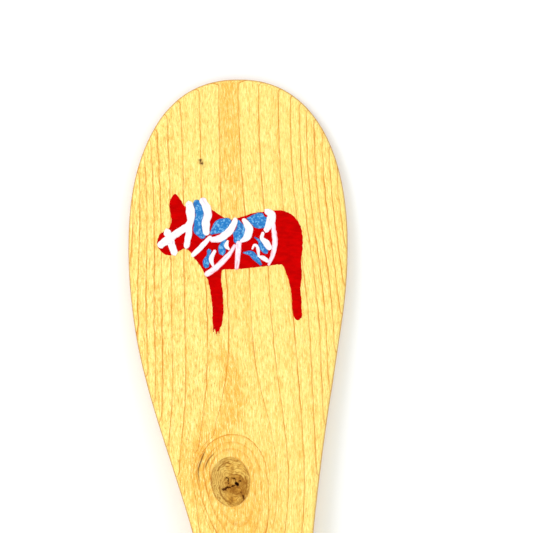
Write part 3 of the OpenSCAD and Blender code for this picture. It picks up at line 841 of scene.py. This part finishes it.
horse = {
    # outline in millimetres from the horse's middle, clockwise from the ear
    "outline": [
        [-8.9, 7.2], [-9.6, 5.8], [-9.4, 4.2], [-9.3, 3.0], [-9.8, 2.1], [-11.0, 1.2], [-11.4, -0.2],
        [-10.7, -1.3], [-9.6, -1.8], [-8.5, -1.3], [-7.4, -0.8], [-6.7, -1.1], [-6.1, -2.0], [-5.1, -3.3],
        [-4.3, -4.7], [-3.8, -6.1], [-3.5, -7.9], [-3.3, -9.8], [-3.3, -11.6], [-3.0, -12.8], [-2.6, -13.1],
        [-2.2, -12.6], [-1.8, -11.0], [-1.7, -8.4], [-1.9, -6.4], [-2.0, -4.8], [-1.8, -3.9], [-0.2, -3.8],
        [2.4, -3.6], [4.9, -3.3], [6.5, -3.1], [7.1, -3.5], [7.5, -4.6], [7.9, -5.9], [8.2, -7.8],
        [8.3, -9.8], [8.6, -10.9], [9.2, -11.2], [9.7, -10.5], [9.6, -8.4], [9.5, -6.4], [9.7, -4.6],
        [9.6, -2.8], [9.8, -0.6], [9.8, 1.2], [9.4, 2.7], [8.8, 3.7], [7.8, 4.4], [6.4, 4.8],
        [4.3, 4.6], [2.7, 4.4], [1.1, 3.9], [-0.4, 3.5], [-1.5, 3.6], [-2.5, 4.3], [-3.6, 5.0],
        [-4.9, 5.5], [-6.2, 5.2], [-7.4, 5.4], [-8.2, 6.7],
    ],
    "place": 24.0 * mm,  # from the tip to the horse's middle
    "side": 0.4 * mm,
    "film": 0.1 * mm,  # thickness of one coat
    "bead": 0.16 * mm,  # width of a coat's rounded edge
    "under": 0.02 * mm,  # how far paint soaks into the wood
    "cell": 0.1 * mm,
    "ragged": 0.05,  # unevenness of the coat's edge, in millimetres
    "raggedWaves": [(8, 1.6, 31), (8, 0.5, 32)],
    "brushedWaves": (8, 1.5 * mm, 33),
    "brushed": 0.07,  # unevenness of the film, as a share of it
    "frayDepth": 0.22,  # length and width of the bristle ends at the front foot, in millimetres
    "frayWidth": 0.42,
    "frayPlace": (-12.0, -4.5, -1.0),  # its top, left and right
    "frayFade": (0.8, 0.4),  # how far the fraying takes to grow along, and across
    "pad": 0.5 * mm,
    "probe": 0.02 * mm,  # step over which the edge's slope is measured
    "steps": 5,
}


def closedSpline(points, steps):
    # the same cubic through each point, joined end to end
    p = np.asarray(points, float)
    ring = np.vstack([p[-1:], p, p[:2]])
    run = spline(ring, steps)
    return run[steps:-steps - 1]


coatLine = closedSpline(horse["outline"], horse["steps"])
coatLow, coatHigh = (np.array(corner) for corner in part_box("horse_coat"))
horseScale = (coatHigh[0] - coatLow[0]) / np.ptp(coatLine[:, 0])
slopeSin, slopeCos = math.sin(spoonShape["faceSlope"]), math.cos(spoonShape["faceSlope"])


def ontoFace(u, v, w):
    # the tilted plane of the face: across, along and out, with the horse's middle as its origin
    v = v - horse["place"] / slopeCos
    return np.stack([u - horse["side"], spoonShape["length"] / 2 + v * slopeCos + w * slopeSin,
                     spoonShape["tipThickness"] - v * slopeSin + w * slopeCos], -1)


def insideDepth(u, v):
    # distance in to the outline, negative outside: nearest point of each straight bit, signed by crossings
    line = coatLine * horseScale
    a, b = line, np.roll(line, -1, 0)
    shape = np.shape(u)
    u, v = np.ravel(u)[:, None], np.ravel(v)[:, None]
    d = b - a
    t = np.clip(((u - a[:, 0]) * d[:, 0] + (v - a[:, 1]) * d[:, 1]) / (d**2).sum(1), 0, 1)
    gap = np.hypot(u - a[:, 0] - t * d[:, 0], v - a[:, 1] - t * d[:, 1]).min(1)
    up = (a[:, 1] > v) != (b[:, 1] > v)
    reach = a[:, 0] + (v - a[:, 1]) * d[:, 0] / np.where(d[:, 1] == 0, 1, d[:, 1])
    odd = (up & (u < reach)).sum(1) % 2 == 1
    return np.where(odd, gap, -gap).reshape(shape)


def coatDepth(u, v):
    # the outline roughened by the brush, with the front foot frayed into bristle ends
    x, y = u / mm, v / mm
    rough = sum(0.5 * ripples(x, y, *waves) for waves in horse["raggedWaves"])
    depth = insideDepth(u, v) + horse["ragged"] * rough * mm
    (top, left, right), (along, across) = horse["frayPlace"], horse["frayFade"]
    foot = smooth((top - y) / along) * smooth((x - left) / across) * smooth((right - x) / across)
    return depth + foot * horse["frayDepth"] * np.sin(x * 2 * math.pi / horse["frayWidth"] + 0.6 * y) * mm


def coatTop(u, v):
    # one coat's thickness with a rounded edge: t sqrt(1 - (1 - depth / bead)^2)
    inside = np.clip(coatDepth(u, v) / horse["bead"], 0, 1)
    return horse["film"] * np.sqrt(1 - (1 - inside) ** 2)


def coatMesh():
    # a fine grid over the horse: points close to the outline move onto it, and cells outside are dropped
    cell, pad = horse["cell"], horse["pad"]
    low, high = coatLine.min(0) * horseScale - pad, coatLine.max(0) * horseScale + pad
    u, v = np.meshgrid(np.arange(low[0], high[0], cell), np.arange(low[1], high[1], cell))
    depth, step = coatDepth(u, v), horse["probe"]
    slopeU = (coatDepth(u + step, v) - coatDepth(u - step, v)) / (2 * step)
    slopeV = (coatDepth(u, v + step) - coatDepth(u, v - step)) / (2 * step)
    near = np.abs(depth) < 0.55 * cell
    steep = np.clip(slopeU**2 + slopeV**2, 0.3, None)
    u, v = u - near * depth * slopeU / steep, v - near * depth * slopeV / steep
    kept = (depth > 0) | near
    rows, columns = u.shape
    quads = gridFaces(rows, columns)
    full = kept.ravel()[quads]
    whole = quads[full.all(1)]
    three = quads[full.sum(1) == 3]
    corners = full[full.sum(1) == 3]
    halves = three[corners].reshape(-1, 3)
    halves = np.column_stack([halves, halves[:, 2]])
    faces = np.vstack([whole, halves])
    edges = np.vstack([faces[:, [i, (i + 1) % 4]] for i in range(4)])
    edges = edges[edges[:, 0] != edges[:, 1]]
    key = edges[:, 0] * (rows * columns) + edges[:, 1]
    back = edges[:, 1] * (rows * columns) + edges[:, 0]
    rim = edges[~np.isin(key, back)]
    count = rows * columns
    u, v = u.ravel(), v.ravel()
    brushed = 1 + horse["brushed"] * ripples(u * 3, v, *horse["brushedWaves"])
    top = coatTop(u, v) * brushed
    upper = ontoFace(u, v, top)
    lower = ontoFace(u, v, np.full_like(u, -horse["under"]))
    walls = np.stack([rim[:, 1], rim[:, 0], rim[:, 0] + count, rim[:, 1] + count], 1)
    quads = np.vstack([faces, faces[:, ::-1] + count, walls])
    used, back = np.unique(quads, return_inverse=True)
    points = np.vstack([upper, lower])[used]
    place = np.stack([u, v, 0 * u], 1) / mm
    place = np.vstack([place, place])[used]
    edge = np.clip(coatDepth(u, v) / mm, 0, 1)
    fields = {"paintPlace": place, "edgeGap": np.concatenate([edge, edge])[used]}
    return points, back.reshape(quads.shape), fields


redLook = {
    "thick": colour(180, 0, 0),
    "full": colour(206, 0, 0),
    "thin": colour(206, 40, 20),
    "stretch": (1.2, 0.35, 1.0),
    "streakRange": (0.3, 0.7),
    "edge": 0.1,  # millimetres of thin paint at the edge, and how thin it is
    "edgeShare": 0.35,
}


def redMaterial():
    # strong red, barely darker where the brush left it thicker
    look = redLook
    material, tree, shader = newMaterial("redPaint", Roughness=0.42, Specular_IOR_Level=0.015)
    place = stretched(tree, field(tree, "paintPlace", "Vector"), look["stretch"])
    marks = useGroup(tree, bristleGroup, Stroke=place)
    base = blend(tree, between(tree, marks["Streaks"], *look["streakRange"]), look["thick"], look["full"])
    base = layer(tree, base, field(tree, "edgeGap"), look["edge"], 0.0, look["edgeShare"], look["thin"])
    tree.links.new(base, shader.inputs["Base Color"])
    addBump(tree, shader, marks["Height"], strength=0.25, distance=0.03 * mm)
    return material


points, quads, fields = coatMesh()
makePiece("redHorse", ["horse_coat"], redMaterial(), points, quads, fields)
print("horse coat made")

# each brush stroke's path, topmost first: [across, up, width] in millimetres from the horse's middle
strokes = {
    "bridle_crown": [[-6.7, 5.6, 1.1], [-6.5, 4.5, 1.3], [-6.5, 3.3, 1.0], [-6.8, 2.4, 1.1],
                     [-6.8, 1.2, 1.0], [-7.1, -0.4, 0.8]],
    "bridle_cheek": [[-7.2, 2.3, 1.0], [-9.1, 1.0, 1.1], [-10.8, -0.2, 1.1]],
    "bridle_nose": [[-9.9, 1.6, 1.0], [-9.5, 0.5, 1.1], [-8.9, -1.3, 1.0]],
    "mane_white": [[-4.7, 6.1, 1.1], [-4.2, 5.2, 1.2], [-4.0, 4.2, 1.2], [-4.3, 2.9, 1.2],
                   [-4.2, 1.6, 1.0]],
    "breast_collar": [[-3.7, 0.8, 0.6], [-4.9, -0.5, 0.8], [-6.1, -1.7, 0.7]],
    "saddle_front_white": [[-3.3, 0.5, 0.8], [-2.2, 0.7, 1.1], [-0.9, 1.7, 1.1], [-0.1, 3.0, 0.9],
                           [0.0, 3.4, 0.7]],
    "saddle_middle_white": [[1.3, 3.3, 0.7], [2.0, 2.1, 1.2], [1.7, 0.9, 1.1], [0.9, 0.3, 0.5]],
    "saddle_rear_white": [[4.7, 4.6, 0.9], [5.3, 4.1, 1.2], [5.1, 3.1, 1.3], [4.6, 2.0, 0.9]],
    "chest_leaf_white": [[-3.0, -1.2, 0.5], [-3.5, -2.3, 0.7], [-3.2, -3.3, 0.4]],
    "shoulder_leaf_white": [[-1.1, 0.3, 0.3], [-1.3, -0.4, 0.7], [-0.9, -0.9, 0.3]],
    "belly_hook_white": [[2.5, -0.8, 0.3], [2.8, -0.3, 0.4], [3.2, -0.5, 0.45], [3.35, -1.2, 0.5],
                         [3.4, -1.9, 0.3]],
    "belly_leaf_white": [[3.6, -2.0, 0.4], [4.1, -2.2, 0.7], [4.7, -2.6, 0.5]],
    "flank_leaf_white": [[4.0, 1.4, 0.5], [3.9, 0.7, 0.6], [4.5, 0.0, 1.0], [4.9, -0.6, 0.9]],
    "breeching": [[5.5, 3.3, 0.5], [5.6, 1.9, 0.7], [5.8, 0.3, 0.8], [5.5, -1.6, 0.7], [4.9, -3.1, 0.4]],
    "girth": [[0.5, -0.1, 0.9], [0.4, -1.6, 0.8], [0.2, -3.6, 0.6]],
    "chest_strap": [[-0.1, -0.4, 0.5], [-1.0, -1.8, 0.7], [-2.7, -3.5, 0.9], [-4.1, -4.5, 0.8]],
    "mane_blue": [[-5.6, 5.8, 1.1], [-5.3, 4.9, 1.3], [-5.2, 4.1, 1.2], [-5.4, 3.0, 1.3], [-5.4, 1.9, 1.3],
                  [-4.8, 1.1, 1.0]],
    "saddle_front_blue": [[-3.4, 1.5, 0.6], [-2.7, 2.1, 1.7], [-1.9, 2.6, 2.1], [-1.2, 3.0, 1.4]],
    "saddle_middle_blue": [[0.5, 3.1, 0.5], [0.8, 2.0, 1.5], [0.5, 1.1, 1.7], [0.2, 0.4, 0.9]],
    "saddle_rear_blue": [[1.8, 3.6, 0.3], [2.5, 3.45, 1.5], [3.3, 3.3, 2.3], [4.0, 3.2, 2.2],
                         [4.4, 3.2, 1.3]],
    "chest_leaf_blue": [[-3.8, -1.2, 0.7], [-3.9, -1.9, 0.6], [-4.2, -2.7, 1.1], [-4.2, -3.2, 0.9]],
    "shoulder_leaf_blue": [[-1.5, 0.3, 0.5], [-2.0, -0.5, 0.9], [-1.9, -1.2, 1.1]],
    "belly_leaf_blue": [[1.2, -1.4, 0.2], [2.2, -1.5, 0.8], [3.0, -2.2, 0.9], [3.7, -3.1, 0.4]],
    "flank_leaf_blue": [[2.9, 0.8, 0.2], [3.5, 0.3, 0.5], [3.9, -0.6, 0.9], [4.4, -1.2, 0.8]],
}
thinWhites = ["breeching", "girth", "chest_strap"]

brush = {
    "film": 0.07 * mm,  # paint in one stroke
    "layer": 0.035 * mm,  # how much higher each next colour lies
    "stack": 0.0015 * mm,  # and each stroke above the one before it in the same colour
    "ridge": 0.16,  # height of the bristle ridges, as a share of the film
    "ragged": 0.07,  # unevenness of the two sides, as a share of the half width
    "fray": 0.1 * mm,  # how far the bristles end apart, over this much of the stroke
    "frayLength": 0.6 * mm,
    "endBead": 0.25 * mm,  # half width under which a stroke's end thins out
    "firstSeed": 100,
    # number and size in millimetres of the waves along its sides, at its ends and across its ridges
    "sideWaves": (9, 1.1),
    "frayWaves": (6, 0.45),
    "ridgeWaves": (9, 1.0),
    "across": 16,
    "capRows": 7,
    "steps": 14,
}


def strokeMesh(path, layerHeight, seed):
    # a ribbon across each point of the path with a round cap at both ends, closed underneath
    b = brush
    run = spline(path, b["steps"])
    ahead = np.gradient(run[:, :2], axis=0)
    ahead = ahead / np.linalg.norm(ahead, axis=1)[:, None]
    turn = np.linspace(0, math.pi / 2, b["capRows"] + 1)[1:]
    caps = []
    for end, sign in ((0, -1), (-1, 1)):
        half = run[end, 2] / 2
        tips = run[end, :2] + sign * ahead[end] * half * np.sin(turn)[:, None]
        caps.append(np.column_stack([tips, 2 * half * np.cos(turn)]))
    line = np.vstack([caps[0][::-1], run, caps[1]]) * horseScale
    ahead = np.pad(ahead, ((b["capRows"], b["capRows"]), (0, 0)), mode="edge")
    along = np.r_[0, np.cumsum(np.linalg.norm(np.diff(line[:, :2], axis=0), axis=1))][:, None]
    share = np.sin(np.linspace(-math.pi / 2, math.pi / 2, b["across"] + 1))[None, :]
    half = line[:, 2:3] / 2
    uneven = ripples(along / mm, np.sign(share) * 3.0, *b["sideWaves"], seed)
    across = half * share * (1 + b["ragged"] * uneven)
    fray = b["fray"] * ripples(across / mm, along * 0, *b["frayWaves"], seed + 1) * (1 - share**2)
    fray = fray * (smooth(1 - (along[-1] - along) / b["frayLength"]) - smooth(1 - along / b["frayLength"]))
    u = line[:, :1] - ahead[:, 1:] * across + ahead[:, :1] * fray
    v = line[:, 1:2] + ahead[:, :1] * across + ahead[:, 1:] * fray
    u[[0, -1]], v[[0, -1]] = u[[0, -1]].mean(1)[:, None], v[[0, -1]].mean(1)[:, None]
    ridges = ripples(across / mm * 3, along / mm * 0.35, *b["ridgeWaves"], seed + 2)
    ridges = 1 + b["ridge"] * ridges
    ending = np.sqrt(1 - (1 - np.minimum(half / b["endBead"], 1)) ** 2)
    bead = ending * np.sqrt(np.clip(1 - np.abs(share) ** 5, 0, 1))
    ground = coatTop(u, v)
    upper = ontoFace(u, v, ground + bead * (b["film"] * ridges + layerHeight))
    lower = ontoFace(u, v, ground - horse["under"])
    place = np.stack(np.broadcast_arrays(along / mm, across / mm, 7.3 * seed + 0 * share), -1)
    edge = (half * (1 - np.abs(share)) / mm)[..., None]
    pairs = (upper, lower), (place, place), (edge, edge)
    ring, place, edge = (np.concatenate([over, below[:, ::-1], over[:, :1]], axis=1)
                         for over, below in pairs)
    return ring.reshape(-1, 3), gridFaces(*ring.shape[:2]), {
        "paintPlace": place.reshape(-1, 3), "edgeGap": edge.ravel()}


def strokeMaterial(look):
    # the full colour, a thinner colour along the bristle streaks and at the edges, a third in round dabs
    material, tree, shader = newMaterial(look["name"], Roughness=0.45, Specular_IOR_Level=0.08)
    place = field(tree, "paintPlace", "Vector")
    marks = useGroup(tree, bristleGroup, Stroke=place)
    dabs = noise(tree, stretched(tree, place, look["dabScale"]), 2.0, 0.6, 0.5)
    low, high = look["streakRange"]
    base = layer(tree, look["thick"], marks["Streaks"], low, high, look["streakShare"], look["thin"])
    base = blend(tree, between(tree, dabs, *look["dabRange"]), base, look["dab"])
    base = layer(tree, base, field(tree, "edgeGap"), look["edge"], 0.0, look["edgeShare"], look["thin"])
    tree.links.new(base, shader.inputs["Base Color"])
    addBump(tree, shader, marks["Height"], strength=0.35, distance=0.05 * mm)
    return material


# layer counts the films under a stroke; streaks, dabs and the edge show the two other colours
strokeLooks = {
    "white": {
        "name": "whitePaint", "slot": "white_paint", "layer": 2,
        "thick": colour(244, 243, 238), "thin": colour(240, 190, 202), "dab": colour(222, 206, 214),
        "streakRange": (0.5, 0.75), "streakShare": 0.8, "dabScale": (1.6, 1.9, 1.0), "dabRange": (0.54, 0.8),
        "edge": 0.14, "edgeShare": 0.35,
    },
    "thin": {
        "name": "thinWhitePaint", "slot": "thin_white_paint", "layer": 1,
        "thick": colour(252, 230, 234), "thin": colour(236, 120, 130), "dab": colour(250, 246, 248),
        "streakRange": (0.44, 0.78), "streakShare": 1.0, "dabScale": (1.3, 1.8, 1.0), "dabRange": (0.5, 0.72),
        "edge": 0.18, "edgeShare": 0.5,
    },
    "blue": {
        "name": "bluePaint", "slot": "blue_paint", "layer": 0,
        "thick": colour(34, 118, 184), "thin": colour(66, 80, 144), "dab": colour(118, 180, 220),
        "streakRange": (0.5, 0.75), "streakShare": 0.75, "dabScale": (2.6, 3.0, 1.0),
        "dabRange": (0.46, 0.66), "edge": 0.22, "edgeShare": 0.65,
    },
}
for look in strokeLooks.values():
    look["material"] = strokeMaterial(look)
for index, (node, path) in enumerate(strokes.items()):
    look = strokeLooks["blue" if node.endswith("blue") else "thin" if node in thinWhites else "white"]
    layerHeight = look["layer"] * brush["layer"] + (len(strokes) - index) * brush["stack"]
    first, *rest = node.split("_")
    name = first + "".join(word.capitalize() for word in rest) + "Stroke"
    points, quads, fields = strokeMesh(path, layerHeight, brush["firstSeed"] + 3 * index)
    makePiece(name, [node], look["material"], points, quads, fields)
print("brush strokes made:", len(strokes))

floorLook = {"half": 4.0, "under": 0.02 * mm, "white": 0.94}
h, under = floorLook["half"], -floorLook["under"]
floorMesh = bpy.data.meshes.new("floor")
floorMesh.from_pydata([(-h, -h, under), (h, -h, under), (h, h, under), (-h, h, under)], [], [(0, 1, 2, 3)])
floor = bpy.data.objects.new("floor", floorMesh)
bpy.context.scene.collection.objects.link(floor)
paper, *_ = newMaterial("whitePaper", Roughness=1.0, Specular_IOR_Level=0.0,
                        Base_Color=(*[floorLook["white"]] * 3, 1.0))
floorMesh.materials.append(paper)

cameraView = {
    "across": 77.55 * mm,  # width of the view at the painted face
    "right": 4.15 * mm,  # the view's middle, across and from the tip
    "down": 27.4 * mm,
    "distance": 0.32,
    "sensor": 36.0,
    "nearest": 0.01,
    "farthest": 10.0,
}
camera = bpy.data.objects.new("camera", bpy.data.cameras.new("camera"))
bpy.context.scene.collection.objects.link(camera)
camera.data.sensor_width = cameraView["sensor"]
camera.data.lens = cameraView["sensor"] * cameraView["distance"] / cameraView["across"]
camera.location = (cameraView["right"], spoonShape["length"] / 2 - cameraView["down"],
                   float(faceHeight(cameraView["down"])) + cameraView["distance"])
camera.data.clip_start, camera.data.clip_end = cameraView["nearest"], cameraView["farthest"]
bpy.context.scene.camera = camera

roomLight = {
    "level": 1.25,
    "dimLevel": 0.35,  # a dim patch overhead, which fades out between these two angles
    "dimFrom": math.cos(math.radians(30)),
    "dimTo": math.cos(math.radians(14)),
    "roomTint": (0.93, 0.995, 1.05, 1.0),
    "keyTint": (1.0, 0.92, 0.88),
    "keySize": 0.3,
    "keyPlace": (-0.42, 0.28, 0.7),
    "keyAim": (0.0, 0.05, 0.0),
    "keyPower": 1.38,
}


def addLamp(name, size, place, aim, power, tint):
    # a round lamp whose own z axis points from what it lights to its place
    lamp = bpy.data.lights.new(name, "AREA")
    lamp.shape = "DISK"
    lamp.size = size
    lamp.energy = power
    lamp.color = tint
    holder = bpy.data.objects.new(name, lamp)
    bpy.context.scene.collection.objects.link(holder)
    holder.location = place
    z = (np.array(place) - aim) / np.linalg.norm(np.array(place) - aim)
    x = np.cross([0.0, 1.0, 0.0], z)
    x = x / np.linalg.norm(x)
    holder.rotation_euler = Matrix((x, np.cross(z, x), z)).transposed().to_euler()


addLamp("softKey", *(roomLight[key] for key in ("keySize", "keyPlace", "keyAim", "keyPower", "keyTint")))
world = bpy.data.worlds.new("studio")
bpy.context.scene.world = world
world.use_nodes = True
skyTree = world.node_tree
sky = skyTree.nodes["Background"]
sky.inputs["Color"].default_value = roomLight["roomTint"]
direction = wire(skyTree, "ShaderNodeTexCoord").outputs["Generated"]
upward = wire(skyTree, "ShaderNodeSeparateXYZ", i0=direction).outputs[2]
levels = roomLight["level"], roomLight["dimLevel"]
dim = between(skyTree, upward, roomLight["dimFrom"], roomLight["dimTo"], levels)
skyTree.links.new(dim, sky.inputs["Strength"])
bpy.context.scene.view_settings.view_transform = "Standard"
bpy.context.scene.view_settings.look = "None"
print("floor, light and camera made")
